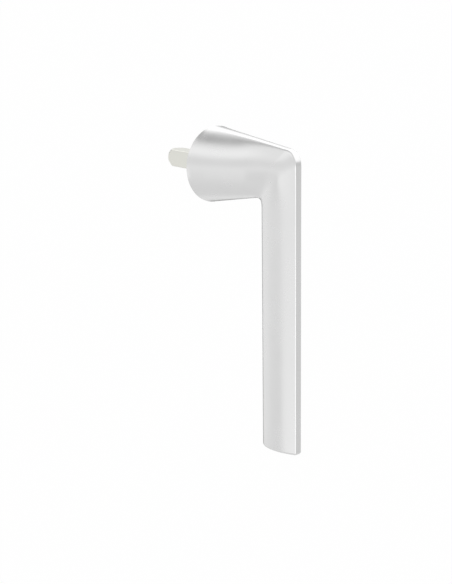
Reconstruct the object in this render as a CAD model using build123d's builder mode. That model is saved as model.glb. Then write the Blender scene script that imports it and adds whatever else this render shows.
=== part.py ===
"""Window handle with a conical neck and a straight lever, driven by a square spindle.

Frame: the origin is where the spindle axis meets the window face, +Y goes into the window,
+Z is up and the room is on the -Y side. The lever hangs down: the closed position.
"""

import os
from math import cos, pi, radians, sin, sqrt, tan

from build123d import *

os.makedirs("parts", exist_ok=True)

# Outside of the handle
base_d = 31.2  # round foot of the neck
rim_gap = 0.3  # foot to window face, so that the handle turns freely
reach = 48.6  # foot to the flat front of the lever
lever_end = 113.6  # spindle axis to the end of the lever
lever_w = 9.0  # lever thickness, side to side
lever_d = 19.5  # lever depth, front to back
lever_belly = 11.7  # front flat to the thickest line of the lever
front_r = 6.0  # outer corner between neck and lever
bend_r = 3.0  # inner corner between neck and lever
end_r = 1.2  # rounded edge round the lever's cut end

# Flat band along the outside of neck and lever
band_w = 3.1  # on the lever
band_half_angle = 13.0  # share of the foot circle that runs into the band, each side
neck_front_z = 10.5  # top line of the neck where it would meet the front

# Neck where it turns into the bend
bend_w = 14.8
bend_under_z = 10.4  # underside below the spindle axis
bend_shape = 0.57  # 0 is a round section, 1 the lever's section
flank_flare = 23.0  # lever side at the band, from straight back
flank_pull = 0.4  # fullness of the lever side
band_inset = 0.7  # how much of the end rounding narrows the band, each side

# Square spindle
spindle_sq = 7.0
spindle_edge_r = 0.5
spindle_out = 25.7  # behind the window face
spindle_in = 21.0  # inside the neck, from the window face
spindle_point = 30.0  # turned end, slope from the axis
spindle_tip_d = 6.9

# Fixed base inside the neck
flange_d = 24.4
flange_t = 5.0
ring_seat = 0.5  # step behind the flange that carries the slide ring, on the radius
step_t = 2.1
hub_d = 20.8
hub_h = 12.2  # across the two flats beside the screw heads
hub_t = 4.4
spindle_hole_d = 10.4
groove_y = 3.4  # retaining groove, middle, from the window face
groove_w = 2.0
groove_t = 1.0
chamber_h = 10.7
chamber_d = 19.0
cover_t = 0.8

# Detent spring
strip_t = 0.5
strip_w = 4.0
leg_reach = 7.0  # free end of a leg, from the axis
arch_x = 5.4  # middle of the round end

# Screws
screw_spacing = 17.4
screw_d = 2.9  # thread, behind the window face
screw_neck_d = 2.2  # plain part in the base, as thick as the thread's core
screw_head_d = 5.0
screw_out = 12.0  # behind the window face
screw_point = 3.0
recess_w = 0.8
recess_l = 2.6
recess_t = 1.1
grub_d = 3.0
grub_l = 2.8
dog_d = 1.8
hex_w = 1.5
hex_t = 1.2

# Slide ring
ring_t = 1.4
ring_y = 0.6

# Fits
fixed_fit = 0.02  # pieces that stay together
running_fit = 0.05  # ring on its seat
turn_gap = 0.3  # handle bore round the fixed base
screw_fit = 0.15  # screw in its hole, on the radius
shoulder_gap = 0.4  # flange to the step in the bore
end_gap = 0.7  # cover to the bottom of the bore
dog_gap = 0.2  # retaining screw to the base

# Positions worked out from the sizes above
foot_r = base_d / 2
foot_top = foot_r * cos(radians(band_half_angle))
foot_band = foot_r * sin(radians(band_half_angle))
foot_y = rim_gap
front_y = rim_gap + reach
back_y = front_y - lever_d
pivot_y = back_y - bend_r
pivot_z = -bend_under_z - bend_r
top_slope = (foot_top - neck_front_z) / reach
corner_y = front_y - front_r
corner_z = foot_top - top_slope * (reach - front_r) - front_r * sqrt(1 + top_slope**2)
bore_r = flange_d / 2 + turn_gap
hub_bore_r = hub_d / 2 + turn_gap
step_d = flange_d - 2 * ring_seat
groove_d = flange_d - 2 * groove_t
grub_in = flange_d / 2 + dog_gap
dog_in = groove_d / 2 + dog_gap
grub_out = dog_in + grub_l
socket_sq = spindle_sq + 2 * fixed_fit
hub_y = flange_t + hub_t
cover_y = hub_y + cover_t
bore_floor = cover_y + end_gap


def top_z(y):
    """Top line of the neck at a distance from the window face."""
    return foot_top - top_slope * (y - foot_y)


def outer_point(angle):
    """Where a ray from the bend's centre, leaning to the room, leaves the outer profile."""
    up, out = cos(angle), sin(angle)
    on_top = (top_z(pivot_y) - pivot_z) / (up + top_slope * out)
    along = out * (corner_y - pivot_y) + up * (corner_z - pivot_z)
    away = (corner_y - pivot_y) ** 2 + (corner_z - pivot_z) ** 2 - front_r**2
    on_arc = along + sqrt(max(along**2 - away, 0))
    if pivot_y + on_top * out < corner_y + front_r * top_slope / sqrt(1 + top_slope**2):
        return on_top
    on_front = (front_y - pivot_y) / out
    return on_front if pivot_z + on_front * up < corner_z else on_arc


def blend(a, b, t):
    return a + (b - a) * t


def section(plane, outer, inner, half_w, band, belly, shape, crown):
    """One cross-section: band, two convex sides and a rounded inner end, as a sketch."""
    first = radians(band_half_angle)
    lean = radians(flank_flare)
    round_pull = 4 / 3 * tan((pi / 2 - first) / 4)
    round_h = belly / cos(first)
    oval_pull = 4 / 3 * tan(pi / 8)
    side_1 = (
        band + blend(round_pull * half_w * cos(first), flank_pull * belly * sin(lean), shape),
        outer - blend(round_pull * round_h * sin(first), flank_pull * belly * cos(lean), shape),
    )
    side_2 = (half_w, outer - belly + blend(round_pull * round_h, flank_pull * belly, shape))
    widest = (half_w, outer - belly)
    back_1 = (half_w, outer - belly - oval_pull * (outer - belly - inner))
    back_2 = (half_w * oval_pull, inner)
    right_side = ((band, outer), side_1, side_2, widest)
    right_back = (widest, back_1, back_2, (0, inner))
    outline = [
        Bezier((-band, outer), (0, outer + 2 * crown), (band, outer), mode=Mode.PRIVATE),
        Bezier(*right_side, mode=Mode.PRIVATE),
        Bezier(*right_back, mode=Mode.PRIVATE),
        Bezier(*[(-x, y) for x, y in reversed(right_back)], mode=Mode.PRIVATE),
        Bezier(*[(-x, y) for x, y in reversed(right_side)], mode=Mode.PRIVATE),
    ]
    return plane * make_face(outline, mode=Mode.PRIVATE)


def facing_room(y, z=0):
    """Plane parallel to the window face at a distance from it, looking into the room."""
    return Plane(origin=(0, -y, z), x_dir=(1, 0, 0), z_dir=(0, -1, 0))


def facing_down(y, z):
    """Plane square to the lever, looking down it."""
    return Plane(origin=(0, -y, z), x_dir=(1, 0, 0), z_dir=(0, 0, -1))


# Handle: neck, bend and lever are one casting
neck_steps = 4
bend_angles = (0, 18, 29, 32, 35, 38, 41, 44, 47, 50, 62, 76, 90)
end_steps = 4
bend_band_top = top_z(pivot_y)
sections = []
for i in range(neck_steps):
    t = i / neck_steps
    y = blend(foot_y, pivot_y, t)
    sections.append(
        section(
            facing_room(y),
            top_z(y),
            -blend(foot_r, bend_under_z, t),
            blend(foot_r, bend_w / 2, t),
            blend(foot_band, band_w / 2, (y - foot_y) / reach),
            blend(foot_top, (bend_band_top + bend_under_z) / 2, t),
            blend(0, bend_shape, t),
            (foot_r - foot_top) * (1 - (y - foot_y) / reach),
        )
    )
for degrees in bend_angles:
    angle = radians(degrees)
    t = degrees / 90
    ease = 2 * t - t**2
    outer = outer_point(angle)
    y = min(pivot_y + outer * sin(angle), front_y)
    sections.append(
        section(
            Plane(
                origin=(0, -pivot_y, pivot_z),
                x_dir=(1, 0, 0),
                z_dir=(0, -cos(angle), -sin(angle)),
            ),
            outer,
            bend_r,
            blend(bend_w / 2, lever_w / 2, ease),
            blend(foot_band, band_w / 2, (y - foot_y) / reach),
            blend((bend_band_top + bend_under_z) / 2, lever_belly, ease),
            blend(bend_shape, 1, ease),
            (foot_r - foot_top) * (1 - (y - foot_y) / reach),
        )
    )
for i in range(end_steps + 1):
    roll = pi / 2 * i / end_steps
    inset = end_r * (1 - cos(roll))
    sections.append(
        section(
            facing_down(pivot_y, end_r * (1 - sin(roll)) - lever_end),
            front_y - pivot_y - inset,
            bend_r + inset,
            lever_w / 2 - inset,
            band_w / 2 - band_inset * inset,
            lever_belly - inset,
            1,
            0,
        )
    )
with BuildPart() as handle_body:
    loft(sections=sections, ruled=True)
    with BuildSketch(facing_room(foot_y)):
        Circle(bore_r)
    extrude(amount=flange_t + shoulder_gap - foot_y, mode=Mode.SUBTRACT)
    with BuildSketch(facing_room(foot_y)):
        Circle(hub_bore_r)
    extrude(amount=bore_floor - foot_y, mode=Mode.SUBTRACT)
    with BuildSketch(facing_room(foot_y)):
        RectangleRounded(socket_sq, socket_sq, spindle_edge_r)
    extrude(amount=spindle_in + fixed_fit - foot_y, mode=Mode.SUBTRACT)
    with BuildSketch(facing_down(groove_y, -groove_d / 2)):
        Circle(grub_d / 2 + fixed_fit)
    extrude(amount=foot_r, mode=Mode.SUBTRACT)
handle_body.part.label = "handle_body"
export_step(handle_body.part, "parts/handle_body.step")

# Spindle: square steel bar with a turned end, pushed into the neck
with BuildPart() as spindle:
    with BuildSketch(facing_room(-spindle_out)):
        RectangleRounded(spindle_sq, spindle_sq, spindle_edge_r)
    extrude(amount=spindle_out + spindle_in)
    with BuildSketch(Plane.XY):
        with BuildLine():
            Polyline(
                (0, spindle_out),
                (spindle_tip_d / 2, spindle_out),
                (spindle_sq, spindle_out - (spindle_sq - spindle_tip_d / 2) / tan(radians(spindle_point))),
                (spindle_sq, -spindle_in),
                (0, -spindle_in),
                close=True,
            )
        make_face()
    revolve(axis=Axis.Y, mode=Mode.INTERSECT)
spindle.part.label = "spindle"
export_step(spindle.part, "parts/spindle.step")

# Fixed base: die casting screwed to the window, hidden in the neck
with BuildPart() as fixing_base:
    with BuildSketch(facing_room(0)):
        Circle(step_d / 2)
    extrude(amount=step_t)
    with BuildSketch(facing_room(step_t)):
        Circle(flange_d / 2)
    extrude(amount=flange_t - step_t)
    with BuildSketch(facing_room(groove_y - groove_w / 2)):
        Circle(flange_d)
        Circle(groove_d / 2, mode=Mode.SUBTRACT)
    extrude(amount=groove_w, mode=Mode.SUBTRACT)
    with BuildSketch(facing_room(flange_t)):
        Circle(hub_d / 2)
        Rectangle(hub_d, hub_h, mode=Mode.INTERSECT)
    extrude(amount=hub_t)
    with BuildSketch(facing_room(flange_t)):
        Circle(chamber_d / 2)
        Rectangle(chamber_d, chamber_h, mode=Mode.INTERSECT)
    extrude(amount=hub_t, mode=Mode.SUBTRACT)
    with BuildSketch(facing_room(0)):
        Circle(spindle_hole_d / 2)
    extrude(amount=flange_t, mode=Mode.SUBTRACT)
    with Locations(facing_room(flange_t)):
        with GridLocations(screw_spacing, screw_spacing, 1, 2):
            CounterSinkHole(screw_d / 2 + screw_fit, screw_head_d / 2 + fixed_fit, counter_sink_angle=90)
fixing_base.part.label = "fixing_base"
export_step(fixing_base.part, "parts/fixing_base.step")

# Detent spring: steel strip bent to a U, its legs on two flats of the spindle
leg_z = spindle_sq / 2 + fixed_fit + strip_t / 2
with BuildPart() as detent_spring:
    with BuildSketch(facing_room(flange_t)):
        with BuildLine():
            Line((-leg_reach, leg_z), (arch_x, leg_z))
            ThreePointArc((arch_x, leg_z), (arch_x + leg_z, 0), (arch_x, -leg_z))
            Line((arch_x, -leg_z), (-leg_reach, -leg_z))
        trace(line_width=strip_t)
    extrude(amount=strip_w)
detent_spring.part.label = "detent_spring"
export_step(detent_spring.part, "parts/detent_spring.step")

# Cover: stamped plate that closes the spring chamber
with BuildPart() as spring_cover:
    with BuildSketch(facing_room(hub_y)):
        Circle(hub_d / 2)
        Rectangle(hub_d, hub_h, mode=Mode.INTERSECT)
        Circle(spindle_hole_d / 2, mode=Mode.SUBTRACT)
    extrude(amount=cover_t)
spring_cover.part.label = "spring_cover"
export_step(spring_cover.part, "parts/spring_cover.step")

# Fixing screws: two countersunk self-tapping screws, above and below the spindle
with BuildPart() as fixing_screws:
    for side in (1, -1):
        screw_z = side * screw_spacing / 2
        with BuildSketch(Plane.XY.offset(screw_z)):
            with BuildLine():
                Polyline(
                    (0, -flange_t),
                    (screw_head_d / 2, -flange_t),
                    (screw_neck_d / 2, (screw_head_d - screw_neck_d) / 2 - flange_t),
                    (screw_neck_d / 2, 0),
                    (screw_d / 2, 0),
                    (screw_d / 2, screw_out - screw_point),
                    (0, screw_out),
                    close=True,
                )
            make_face()
        revolve(axis=Axis((0, 0, screw_z), (0, 1, 0)))
    for side in (1, -1):
        with BuildSketch(facing_room(flange_t, side * screw_spacing / 2)):
            Rectangle(recess_l, recess_w)
            Rectangle(recess_w, recess_l)
        extrude(amount=-recess_t, mode=Mode.SUBTRACT)
fixing_screws.part.label = "fixing_screws"
export_step(fixing_screws.part, "parts/fixing_screws.step")

# Retaining screw: socket set screw in the neck's underside, its dog point in the base's groove
with BuildPart() as retaining_screw:
    with BuildSketch(facing_down(groove_y, -dog_in)):
        Circle(dog_d / 2)
    extrude(amount=grub_in - dog_in)
    with BuildSketch(facing_down(groove_y, -grub_in)):
        Circle(grub_d / 2)
    extrude(amount=grub_out - grub_in)
    with BuildSketch(facing_down(groove_y, -grub_out)):
        RegularPolygon(hex_w / 2, 6, major_radius=False)
    extrude(amount=-hex_t, mode=Mode.SUBTRACT)
retaining_screw.part.label = "retaining_screw"
export_step(retaining_screw.part, "parts/retaining_screw.step")

# Slide ring: moulded ring pressed into the foot, running on the base's step
with BuildPart() as slide_ring:
    with BuildSketch(facing_room(ring_y)):
        Circle(bore_r - fixed_fit)
        Circle(step_d / 2 + running_fit, mode=Mode.SUBTRACT)
    extrude(amount=ring_t)
slide_ring.part.label = "slide_ring"
export_step(slide_ring.part, "parts/slide_ring.step")
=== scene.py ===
import bpy
import numpy as np
from mathutils import Euler, Matrix


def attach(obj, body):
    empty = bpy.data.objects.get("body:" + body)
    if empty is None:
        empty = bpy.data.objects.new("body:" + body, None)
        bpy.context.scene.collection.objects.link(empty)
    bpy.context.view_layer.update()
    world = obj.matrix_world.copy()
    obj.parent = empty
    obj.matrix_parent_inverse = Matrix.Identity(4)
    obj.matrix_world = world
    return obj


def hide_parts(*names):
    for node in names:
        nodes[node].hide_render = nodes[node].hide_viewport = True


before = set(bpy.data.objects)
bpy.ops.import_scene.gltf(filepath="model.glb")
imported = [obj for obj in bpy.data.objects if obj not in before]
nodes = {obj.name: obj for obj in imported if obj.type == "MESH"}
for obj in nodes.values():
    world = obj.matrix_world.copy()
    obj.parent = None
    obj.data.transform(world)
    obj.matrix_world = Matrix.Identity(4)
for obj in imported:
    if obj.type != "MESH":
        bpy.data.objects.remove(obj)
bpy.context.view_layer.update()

# Handle body: neck and lever in one aluminium die casting, ground smooth and finished in satin silver.
# Its foot is bored out from behind for the fixed base, and its underside is drilled for a set screw.
# Sizes are in millimetres, with distances from the window counted into the room.
MM = 0.001
FOOT_R = 15.6
FOOT_Y = 0.3  # gap between the foot and the window
FRONT_Y = 48.9  # front of the lever
BAND_ANGLE = np.radians(13.0)  # half of what the band takes of the round foot
FOOT_TOP = FOOT_R * np.cos(BAND_ANGLE)
FOOT_BAND = FOOT_R * np.sin(BAND_ANGLE)  # half widths of the band at the foot and on the lever
LEVER_BAND = 1.55
FRONT_TOP = 10.5  # height of the neck's top line at the front
TOP_SLOPE = (FOOT_TOP - FRONT_TOP) / (FRONT_Y - FOOT_Y)
CORNER_R = 6.0  # outer corner of the bend
BEND_R = 3.0  # inner corner of the bend
BEND_UNDER = 10.4  # neck's underside at the bend, below the axis
BEND_HALF = 7.4  # half the neck's width at the bend
BEND_SHAPE = 0.57  # how far the section has turned from round to lever there
LEVER_HALF = 4.5
LEVER_D = 19.5
LEVER_BELLY = 11.7  # from the band back to the lever's thickest line
LEVER_END = 113.6
END_R = 1.2  # rounding of the lever's end
BEND_Y = FRONT_Y - LEVER_D - BEND_R
BEND_Z = -BEND_UNDER - BEND_R
FOOT_EDGE = 0.5  # roundings along the band's edges
BEND_EDGE = 2.0
LEVER_EDGE = 0.5
EDGE_SHARE = 0.4  # part of that rounding that lies on the band
EDGE_PACE = 1.8  # the rounding shrinks to the lever's in 1 / EDGE_PACE of the bend
CROWN_MORE = 0.4  # how much higher the band's arc is halfway along the neck
BAND_INSET = 0.7  # parts of the end's rounding that narrow the band and its edges
EDGE_INSET = 0.25
SIDE_LEAN = np.radians(23.0)  # the lever's side against its depth, at the band
SIDE_PULL = 0.4  # how far the side's curve holds both its end directions


def spaced_column(first, last, count):
    """Evenly spaced values from first to last, as a column."""
    return np.linspace(first, last, count)[:, None]


def outer_distance(angle):
    """Distance from the bend's centre to the outer profile at an angle from upright.

    The profile is the neck's sloping top line, an arc of CORNER_R and the lever's upright front line.
    A ray meets a line at the gap to it over the ray's rate towards it, and the arc at the far root of a
    quadratic.
    """
    up, out = np.cos(angle), np.sin(angle)
    root = np.sqrt(1 + TOP_SLOPE**2)
    top = FOOT_TOP - TOP_SLOPE * (BEND_Y - FOOT_Y)
    corner_y = FRONT_Y - CORNER_R
    corner_z = FOOT_TOP - TOP_SLOPE * (corner_y - FOOT_Y) - CORNER_R * root
    on_top = (top - BEND_Z) / (up + TOP_SLOPE * out)
    on_front = (FRONT_Y - BEND_Y) / np.maximum(out, 1e-6)
    along = out * (corner_y - BEND_Y) + up * (corner_z - BEND_Z)
    away = (corner_y - BEND_Y) ** 2 + (corner_z - BEND_Z) ** 2 - CORNER_R**2
    on_arc = along + np.sqrt(np.maximum(along**2 - away, 0))
    is_top = BEND_Y + on_top * out < corner_y + CORNER_R * TOP_SLOPE / root
    is_front = BEND_Z + on_front * up < corner_z
    return np.where(is_top, on_top, np.where(is_front, on_front, on_arc))


def bezier(points, t):
    """Points on a cubic curve: four control points weighted by the cubic powers of t and 1 - t."""
    a, b, c, d = points
    return (1 - t) ** 3 * a + 3 * t * (1 - t) ** 2 * b + 3 * t**2 * (1 - t) * c + t**3 * d


def handle_sections(outer, inner, half_w, band, belly, shape, crown, edge):
    """Half of each cross-section, from the middle of the band round to the middle of the back.

    The band is a shallow arc of height crown, its edge a quadratic curve over a length edge, the side a
    cubic from the band to the thickest line, and the back a quarter oval. shape 0 is round, 1 is the lever.
    """
    pull = 4 / 3 * np.tan((np.pi / 2 - BAND_ANGLE) / 4)
    oval = 4 / 3 * np.tan(np.pi / 8)
    tall = belly / np.cos(BAND_ANGLE)
    round_pull = (1 - shape) * pull
    lever_pull = shape * SIDE_PULL * belly
    x1 = band + round_pull * half_w * np.cos(BAND_ANGLE) + lever_pull * np.sin(SIDE_LEAN)
    y1 = outer - round_pull * tall * np.sin(BAND_ANGLE) - lever_pull * np.cos(SIDE_LEAN)
    y2 = outer - belly + round_pull * tall + lever_pull
    start = edge / (3 * np.hypot(x1 - band, outer - y1))
    flat = np.linspace(0, 1, 4)[None, :]
    band_x = (band - EDGE_SHARE * edge) * flat
    band_y = outer + crown * (1 - (band_x / band) ** 2)
    t = start + (1 - start) * np.linspace(0, 1, 19)[None, :]
    side_x = bezier((band, x1, half_w, half_w), t)
    side_y = bezier((outer, y1, y2, outer - belly), t)
    turn = np.linspace(0, 1, 7)[None, 1:-1]
    edge_x = (1 - turn) ** 2 * band_x[:, -1:] + 2 * turn * (1 - turn) * band + turn**2 * side_x[:, :1]
    edge_y = (1 - turn) ** 2 * band_y[:, -1:] + 2 * turn * (1 - turn) * outer + turn**2 * side_y[:, :1]
    back_t = np.linspace(0, 1, 19)[None, 1:]
    back_1 = outer - belly - oval * (outer - belly - inner)
    back_x = bezier((half_w, half_w, half_w * oval, 0 * half_w), back_t)
    back_y = bezier((outer - belly, back_1, inner, inner), back_t)
    return np.hstack((band_x, edge_x, side_x, back_x)), np.hstack((band_y, edge_y, side_y, back_y))


def whole_ring(x, y):
    """A half section and its mirror image as one closed ring of columns."""
    return np.hstack((x, -x[:, -2:0:-1])), np.hstack((y, y[:, -2:0:-1]))


def grid_object(name, points, sharp=35.0):
    """A closed surface from rings of points, each joined to the next by four-sided faces.

    Rings that have shrunk to a point are welded, and faces that enclose a negative volume are turned over.
    """
    rows, cols = points.shape[:2]
    r = np.arange(rows - 1)[:, None] * cols
    c = np.arange(cols)[None, :]
    n = (c + 1) % cols
    quads = np.stack((r + c, r + n, r + cols + n, r + cols + c), axis=-1).reshape(-1, 4)
    flat = points.reshape(-1, 3) * MM
    a, b, d = flat[quads[:, 0]], flat[quads[:, 1]], flat[quads[:, 2]]
    e = flat[quads[:, 3]]
    volume = np.einsum("ij,ij->i", a, np.cross(b, d) + np.cross(d, e)).sum()
    mesh = bpy.data.meshes.new(name)
    mesh.from_pydata(flat.tolist(), [], (quads if volume > 0 else quads[:, ::-1]).tolist())
    obj = bpy.data.objects.new(name, mesh)
    bpy.context.scene.collection.objects.link(obj)
    weld = obj.modifiers.new("weld", "WELD")
    weld.merge_threshold = 1e-6
    welded = bpy.data.meshes.new_from_object(obj.evaluated_get(bpy.context.evaluated_depsgraph_get()))
    obj.modifiers.clear()
    obj.data = welded
    welded.shade_smooth()
    welded.set_sharp_from_angle(angle=np.radians(sharp))
    return obj


def blend(a, b, t):
    """The value that lies the share t of the way from a to b."""
    return a + (b - a) * t


def in_room(x, y, origin_y, origin_z, angle):
    """Section points as places: x stays across, y goes along a ray that leans out of upright by angle."""
    return np.stack((x, -(origin_y + y * np.sin(angle)), origin_z + y * np.cos(angle)), axis=-1)


def share_of_reach(y):
    """How far out from the foot a point of the neck is, 0 at the foot and 1 at the lever's front."""
    return (np.minimum(y, FRONT_Y) - FOOT_Y) / (FRONT_Y - FOOT_Y)


def band_crown(band, share):
    """Height of the band's arc, whose edges slope by BAND_ANGLE at the foot.

    A sine makes it higher by the share CROWN_MORE halfway along, and a sixth power takes it down to
    nothing at the lever.
    """
    return band / 2 * np.tan(BAND_ANGLE) * (1 + CROWN_MORE * np.sin(np.pi * share)) * (1 - share**6)


# Neck: sections upright across it, from the round foot to where the bend starts.
top_at_bend = FOOT_TOP - TOP_SLOPE * (BEND_Y - FOOT_Y)
belly_at_bend = (top_at_bend + BEND_UNDER) / 2
t = spaced_column(0, 1, 25)[:-1]
y = blend(FOOT_Y, BEND_Y, t)
share = share_of_reach(y)
band = blend(FOOT_BAND, LEVER_BAND, share)
neck = handle_sections(
    outer=FOOT_TOP - TOP_SLOPE * (y - FOOT_Y),
    inner=-blend(FOOT_R, BEND_UNDER, t),
    half_w=blend(FOOT_R, BEND_HALF, t),
    band=band,
    belly=blend(FOOT_TOP, belly_at_bend, t),
    shape=blend(0, BEND_SHAPE, t),
    crown=band_crown(band, share),
    edge=blend(FOOT_EDGE, BEND_EDGE, t),
)
rows = [in_room(*whole_ring(*neck), y, 0, 0)]

# Bend: sections turned about the inner corner, closest together where they pass the outer corner.
turns = (np.linspace(0, 28, 15), np.linspace(29, 51, 34), np.linspace(53, 90, 19))
angle = np.radians(np.concatenate(turns))[:, None]
t = angle / (np.pi / 2)
ease = 2 * t - t**2
outer = outer_distance(angle)
share = share_of_reach(BEND_Y + outer * np.sin(angle))
band = blend(FOOT_BAND, LEVER_BAND, share)
bend = handle_sections(
    outer=outer,
    inner=BEND_R + 0 * t,
    half_w=blend(BEND_HALF, LEVER_HALF, ease),
    band=band,
    belly=blend(belly_at_bend, LEVER_BELLY, ease),
    shape=blend(BEND_SHAPE, 1, ease),
    crown=band_crown(band, share),
    edge=blend(BEND_EDGE, LEVER_EDGE, np.minimum(EDGE_PACE * t, 1)),
)
rows.append(in_room(*whole_ring(*bend), BEND_Y, BEND_Z, angle))

# Lever: level sections down to its end, which rolls inwards by a quarter turn of END_R and closes flat.
roll = np.radians(np.linspace(0, 90, 9))[:, None]
first_ring, last_ring = BEND_Z - 8, -LEVER_END + END_R + 6
straight = spaced_column(first_ring, last_ring, 7)
drop = np.vstack((straight, -LEVER_END + END_R * (1 - np.sin(roll))))
inset = np.vstack((0 * straight, END_R * (1 - np.cos(roll))))
lever = handle_sections(
    outer=FRONT_Y - BEND_Y - inset,
    inner=BEND_R + inset,
    half_w=LEVER_HALF - inset,
    band=LEVER_BAND - BAND_INSET * inset,
    belly=LEVER_BELLY - inset,
    shape=1 + 0 * inset,
    crown=0 * inset,
    edge=LEVER_EDGE - EDGE_INSET * inset,
)
rows.append(in_room(*whole_ring(*lever), BEND_Y, drop, np.pi / 2))
rows.append(rows[-1][-1:] * np.array([0, 1, 1]))

# Foot: a small chamfer, and a stepped bore for the base and the slide ring, from its floor to its mouth.
FOOT_CHAMFER = 0.3
MOUTH_CHAMFER = 0.2
HUB_BORE_R = 10.7
HUB_BORE_Y = 10.9
BASE_BORE_R = 12.5
BASE_BORE_Y = 5.4
BORE_PROFILE = (  # radius and distance from the window
    (0.0, HUB_BORE_Y),
    (6.0, HUB_BORE_Y),
    (HUB_BORE_R, HUB_BORE_Y),
    (HUB_BORE_R, BASE_BORE_Y),
    (11.0, BASE_BORE_Y),
    (BASE_BORE_R, BASE_BORE_Y),
    (BASE_BORE_R, FOOT_Y + MOUTH_CHAMFER),
    (BASE_BORE_R + MOUTH_CHAMFER, FOOT_Y),
    (FOOT_R - FOOT_CHAMFER, FOOT_Y),
)
bore_r, bore_y = np.array(BORE_PROFILE).T
bore = rows[0][:1] * (bore_r / FOOT_R)[:, None, None]
bore[..., 1] = -bore_y[:, None]
rows[0][0, :, 1] = -FOOT_Y - FOOT_CHAMFER
body = grid_object("handle_body_skin", np.concatenate([bore] + rows))

# Set screw's hole: a round drill from below the foot up into the bore, cut away.
HOLE_R = 1.52
HOLE_Y = -3.4
HOLE_TOP = -11.5  # inside the bore
HOLE_BOTTOM = -17.0  # below the foot
hole_r = HOLE_R * np.array([0, 1, 1, 0])[:, None]
hole_z = np.array([HOLE_TOP, HOLE_TOP, HOLE_BOTTOM, HOLE_BOTTOM])[:, None]
around = np.linspace(0, 2 * np.pi, 33)[None, :-1]
hole = np.stack((hole_r * np.cos(around), HOLE_Y + hole_r * np.sin(around), hole_z + 0 * around), axis=-1)
drill = grid_object("screw_hole", hole)
cut = body.modifiers.new("screw_hole", "BOOLEAN")
cut.operation = "DIFFERENCE"
cut.object = drill
drilled = bpy.data.meshes.new_from_object(body.evaluated_get(bpy.context.evaluated_depsgraph_get()))
body.modifiers.clear()
body.data = drilled
bpy.data.objects.remove(drill)
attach(body, "handle")
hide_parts("handle_body")


def material(name, color, rough, metallic):
    """A new material with these values on its shader, and that shader."""
    mat = bpy.data.materials.new(name)
    mat.use_nodes = True
    shader = mat.node_tree.nodes["Principled BSDF"]
    shader.inputs["Base Color"].default_value = (*color, 1)
    shader.inputs["Roughness"].default_value = rough
    shader.inputs["Metallic"].default_value = metallic
    return mat, shader


def grain_group():
    """Satin grain as a node group: noise of two sizes in object coordinates, stretched along the finish.

    The broad noise shifts the roughness by 0.03 and the colour by 1.5 percent each way. The fine noise is
    the height.
    """
    group = bpy.data.node_groups.new("satin_grain", "ShaderNodeTree")
    for name, kind in (("Rough", "Float"), ("Color", "Color"), ("Stretch", "Vector")):
        group.interface.new_socket(name, in_out="INPUT", socket_type="NodeSocket" + kind)
    for name, kind in (("Color", "Color"), ("Roughness", "Float"), ("Height", "Float")):
        group.interface.new_socket(name, in_out="OUTPUT", socket_type="NodeSocket" + kind)
    tree, link = group.nodes, group.links.new
    into, out = tree.new("NodeGroupInput"), tree.new("NodeGroupOutput")
    coords = tree.new("ShaderNodeTexCoord")
    scaled = tree.new("ShaderNodeVectorMath")
    scaled.operation = "MULTIPLY"
    link(coords.outputs["Object"], scaled.inputs[0])
    link(into.outputs["Stretch"], scaled.inputs[1])
    fine, broad = tree.new("ShaderNodeTexNoise"), tree.new("ShaderNodeTexNoise")
    fine.inputs["Scale"].default_value = 5200
    fine.inputs["Detail"].default_value = 2
    broad.inputs["Scale"].default_value = 90
    broad.inputs["Detail"].default_value = 3
    link(scaled.outputs[0], fine.inputs["Vector"])
    link(scaled.outputs[0], broad.inputs["Vector"])
    rough, shade = tree.new("ShaderNodeMapRange"), tree.new("ShaderNodeMapRange")
    for spread, low, high in ((rough, -0.03, 0.03), (shade, 0.985, 1.015)):
        spread.inputs["From Min"].default_value = 0.3
        spread.inputs["From Max"].default_value = 0.7
        spread.inputs["To Min"].default_value = low
        spread.inputs["To Max"].default_value = high
        link(broad.outputs["Fac"], spread.inputs["Value"])
    total = tree.new("ShaderNodeMath")
    link(into.outputs["Rough"], total.inputs[0])
    link(rough.outputs["Result"], total.inputs[1])
    link(total.outputs[0], out.inputs["Roughness"])
    tint = tree.new("ShaderNodeVectorMath")
    tint.operation = "SCALE"
    link(into.outputs["Color"], tint.inputs[0])
    link(shade.outputs["Result"], tint.inputs["Scale"])
    link(tint.outputs[0], out.inputs["Color"])
    link(fine.outputs["Fac"], out.inputs["Height"])
    return group


satin = grain_group()


def grained(name, color, rough, metallic, stretch=(1, 1, 1), bump=0.02):
    """A metal or plastic whose colour, roughness and fine relief come from the satin grain."""
    mat, shader = material(name, color, rough, metallic)
    tree, link = mat.node_tree.nodes, mat.node_tree.links.new
    grain = tree.new("ShaderNodeGroup")
    grain.node_tree = satin
    grain.inputs["Color"].default_value = (*color, 1)
    grain.inputs["Rough"].default_value = rough
    grain.inputs["Stretch"].default_value = stretch
    link(grain.outputs["Color"], shader.inputs["Base Color"])
    link(grain.outputs["Roughness"], shader.inputs["Roughness"])
    relief = tree.new("ShaderNodeBump")
    relief.inputs["Strength"].default_value = bump
    relief.inputs["Distance"].default_value = 0.00005
    link(grain.outputs["Height"], relief.inputs["Height"])
    link(relief.outputs["Normal"], shader.inputs["Normal"])
    return mat


def dress(obj, mat):
    """Gives a piece one material in place of what it had."""
    obj.data.materials.clear()
    obj.data.materials.append(mat)


dress(body, grained("satin_silver", (0.8, 0.8, 0.8), rough=0.26, metallic=1.0, bump=0.01))

# Spindle: a square bar of drawn steel, zinc plated, with its far end turned to a taper.
# It is pressed into the square socket in the neck and turns the lock in the window.
plated = grained("plated_steel", (0.81, 0.81, 0.755), rough=0.34, metallic=1.0, stretch=(1, 0.08, 1))
dress(nodes["spindle"], plated)

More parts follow.
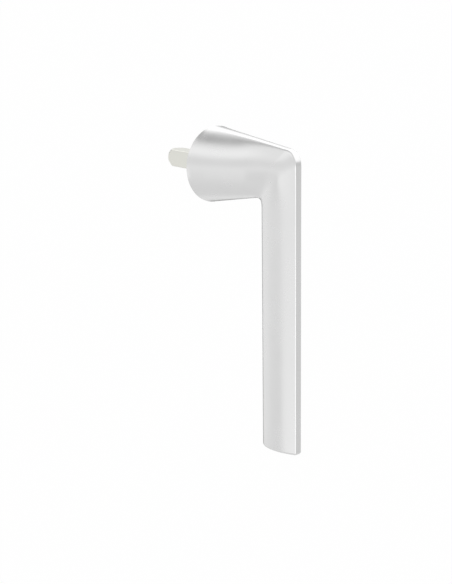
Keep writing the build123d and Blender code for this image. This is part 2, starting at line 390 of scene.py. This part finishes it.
# Fixed base: a zinc die casting, left as cast, that stays on the window while the handle turns.
# Two screws hold it there, and its hub carries the detent spring.
zinc = grained("zinc_casting", (0.55, 0.56, 0.57), rough=0.45, metallic=1.0, bump=0.15)
dress(nodes["fixing_base"], zinc)

# Slide ring: a thin ring of moulded acetal, pressed into the mouth of the foot.
# It turns with the handle and slides on a step behind the base's flange.
acetal = grained("slide_plastic", (0.8, 0.8, 0.77), rough=0.5, metallic=0.0)
dress(nodes["slide_ring"], acetal)

# Detent spring and its cover: cold-rolled steel strip, the spring bent to a U, the cover stamped flat.
# The spring's legs clamp the spindle's flats, and the cover closes it into the base.
strip = grained("spring_steel", (0.5, 0.5, 0.5), rough=0.3, metallic=1.0, stretch=(0.1, 1, 1))
dress(nodes["detent_spring"], strip)
dress(nodes["spring_cover"], strip)

# Fixing screws: cold-headed steel with a cross recess and a rolled thread, zinc plated.
# They hold the base to the window, one above and one below the spindle.
SCREW_Z = 8.7
HEAD_Y = -5.0
HEAD_R = 2.5
CORE_R = 1.1
THREAD_R = 1.45
PITCH = 1.1
CREST = 0.5  # part of the pitch that a crest takes
SCREW_OUT = 12.0
POINT = 3.0
NECK_END = -0.3  # end of the plain neck, just short of the window
RECESS_R = 0.8
RECESS_LOBE = 0.5  # how far the lobes stand out, as a part of that
RECESS_T = 1.2


def screw_rows(z):
    """Rings from the recess in the head to the point, about an axis along y at height z.

    The recess is a ring with four lobes. The thread is a V-shaped crest on the core that moves along by
    one PITCH a turn, fades in over its first turn and shrinks with the core over the POINT.
    """
    turn = np.linspace(0, 2 * np.pi, 33)[None, :-1]
    recess = RECESS_R * (1 + RECESS_LOBE * np.cos(4 * turn))
    head_y = HEAD_Y + np.array([RECESS_T, RECESS_T, 0, 0, HEAD_R - CORE_R])[:, None]
    head_r = np.vstack((0 * turn, recess / 2, recess, HEAD_R + 0 * turn, CORE_R + 0 * turn))
    y = spaced_column(NECK_END, SCREW_OUT, 125)
    phase = (y / PITCH - turn / (2 * np.pi)) % 1
    crest = np.clip(1 - np.abs(2 * phase - 1) / CREST, 0, 1) * np.clip(y / PITCH, 0, 1)
    shrink = np.minimum((SCREW_OUT - y) / POINT, 1)
    r = np.vstack((head_r, (CORE_R + (THREAD_R - CORE_R) * crest) * shrink))
    along = np.vstack((head_y, y)) + 0 * turn
    return np.stack((r * np.cos(turn), along, z + r * np.sin(turn)), axis=-1)


screw_steel = grained("screw_steel", (0.66, 0.66, 0.62), rough=0.3, metallic=1.0)
for name, z in (("upper_screw", SCREW_Z), ("lower_screw", -SCREW_Z)):
    screw = grid_object(name, screw_rows(z), sharp=50.0)
    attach(screw, "base")
    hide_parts("fixing_screws")
    dress(screw, screw_steel)

# Retaining screw: socket set screw of turned and plated steel, screwed into the neck's underside.
# Its dog point runs in the base's groove and keeps the handle on.
dress(nodes["retaining_screw"], screw_steel)

# Floor: a plain pale sheet of paper well below the lever, with the object's shadow on it.
# The camera sees it almost as white as the surround, and the metal mirrors the studio through it.
FLOOR_Z = -0.2
FLOOR_W = 6
FLOOR_WHITE = 0.97
corners = np.array([(-1, -1), (1, -1), (1, 1), (-1, 1)]) * FLOOR_W
floor_mesh = bpy.data.meshes.new("floor")
floor_mesh.from_pydata(np.column_stack((corners, np.full(4, FLOOR_Z))).tolist(), [], [(0, 1, 2, 3)])
floor = bpy.data.objects.new("floor", floor_mesh)
bpy.context.scene.collection.objects.link(floor)
floor_mat, floor_shader = material("pale_floor", (0.9, 0.9, 0.9), 0.9, 0.0)
tree, link = floor_mat.node_tree.nodes, floor_mat.node_tree.links.new
rays = tree.new("ShaderNodeLightPath")
glow = tree.new("ShaderNodeEmission")
clear = tree.new("ShaderNodeBsdfTransparent")
to_camera = tree.new("ShaderNodeMixShader")
to_metal = tree.new("ShaderNodeMixShader")
seen = tree.new("ShaderNodeMath")
seen.operation = "MULTIPLY"
seen.inputs[1].default_value = FLOOR_WHITE
link(rays.outputs["Is Camera Ray"], seen.inputs[0])
link(seen.outputs[0], to_camera.inputs["Fac"])
link(floor_shader.outputs["BSDF"], to_camera.inputs[1])
link(glow.outputs["Emission"], to_camera.inputs[2])
link(rays.outputs["Is Glossy Ray"], to_metal.inputs["Fac"])
link(to_camera.outputs["Shader"], to_metal.inputs[1])
link(clear.outputs["BSDF"], to_metal.inputs[2])
link(to_metal.outputs["Shader"], tree["Material Output"].inputs["Surface"])
dress(floor, floor_mat)

# Studio: a white surround for the camera. What the metal mirrors is a plain soft light all round, with
# brighter sheets and grey cards in it. Azimuth is counted from straight behind the handle, to the right.
world = bpy.data.worlds.new("studio")
bpy.context.scene.world = world
world.use_nodes = True
tree, link = world.node_tree.nodes, world.node_tree.links.new
back = tree["Background"]
back.inputs["Color"].default_value = (1, 1, 1, 1)


def math(operation, *values):
    """The result of a math node on these sockets and numbers."""
    node = tree.new("ShaderNodeMath")
    node.operation = operation
    for socket, value in zip(node.inputs, values):
        if isinstance(value, bpy.types.NodeSocket):
            link(value, socket)
        else:
            socket.default_value = value
    return node.outputs[0]


def panel(level, gain, soft, *spans):
    """A level raised by gain inside the spans, each an angle with its first and last degree.

    The angle's distance from the middle of its span goes through a smooth step, soft degrees either way.
    """
    amount = gain
    for angle, first, last in spans:
        off = math("WRAP", math("SUBTRACT", angle, np.radians((first + last) / 2)), np.pi, -np.pi)
        edge = tree.new("ShaderNodeMapRange")
        edge.interpolation_type = "SMOOTHSTEP"
        edge.inputs["From Min"].default_value = np.radians((last - first) / 2 + soft)
        edge.inputs["From Max"].default_value = np.radians((last - first) / 2 - soft)
        link(math("ABSOLUTE", off), edge.inputs["Value"])
        amount = math("MULTIPLY", edge.outputs["Result"], amount)
    return math("ADD", level, amount)


direction = tree.new("ShaderNodeSeparateXYZ")
link(tree.new("ShaderNodeTexCoord").outputs["Generated"], direction.inputs[0])
azimuth = math("ARCTAN2", direction.outputs["X"], direction.outputs["Y"])
elevation = math("ARCSINE", direction.outputs["Z"])
ALL_ROUND = 0.84
SHEETS = (  # gain, softness, azimuth from and to, elevation from and to
    (0.5, 5, -10, 114, 18.5, 55),  # high behind and on the right, in the neck's band
    (0.46, 6, 114, 144, 14, 52),  # its end, in the outer corner
    (-0.38, 8, -44, 28, 46, 76),  # grey overhead, in the neck's shoulder
    (0.25, 10, -101, -47, 24, 49),  # high on the left, in the neck's side
    (0.11, 4, -124, -75, -33, -7),  # low on the left, in the lever's side
    (0.15, 4, -124, -79, -36, -19),  # its lower half
    (0.08, 6, -105, -44, -12, 3),  # level on the left
    (-0.04, 3, -75, -58, -28, -20),  # grey strip beside the low one
    (0.1, 9, -42, 8, -25, -5),  # low behind, in the lever's back edge
    (0.75, 7, -176, -122, -36, -4),  # in front, in the lever's creases
    (-0.06, 8, 112, 160, -40, 10),  # grey on the right, in the lever's band
    (-0.14, 5, 112, 182, -9, 9),  # its level part
    (-0.05, 5, 122, 154, -40, -15),  # its lower part
    (-0.6, 6, 15, 75, -32, 9),  # dark card behind on the right, in the far edge
    (0.06, 8, 10, 60, -62, -38),  # floor behind
    (-0.03, 8, -80, 10, -100, -48),  # floor below
)
level = ALL_ROUND
for gain, soft, left, right, low, high in SHEETS:
    level = panel(level, gain, soft, (azimuth, left, right), (elevation, low, high))
rays = tree.new("ShaderNodeLightPath")
white = tree.new("ShaderNodeMix")
white.inputs["B"].default_value = 1.0
link(rays.outputs["Is Camera Ray"], white.inputs["Factor"])
link(level, white.inputs["A"])
link(white.outputs["Result"], back.inputs["Strength"])

# Camera: on the left of the handle and a little above it, at about an arm's length.
# Its long lens keeps the lever's sides nearly parallel.
CAMERA_AT = (-0.374223, -0.428793, 0.100596)
CAMERA_TILT = 74.752  # degrees up from straight down
CAMERA_ROLL = 0.7194
CAMERA_TURN = -41.7067  # degrees from straight at the window, negative to the right
camera_data = bpy.data.cameras.new("camera")
camera_data.sensor_width = 36
camera_data.lens = 86.686
camera_data.clip_start = 0.05
camera = bpy.data.objects.new("camera", camera_data)
bpy.context.scene.collection.objects.link(camera)
camera_angles = Euler(np.radians((CAMERA_TILT, CAMERA_ROLL, CAMERA_TURN)))
camera.matrix_world = Matrix.LocRotScale(CAMERA_AT, camera_angles, None)
bpy.context.scene.camera = camera
bpy.context.scene.view_settings.view_transform = "Standard"
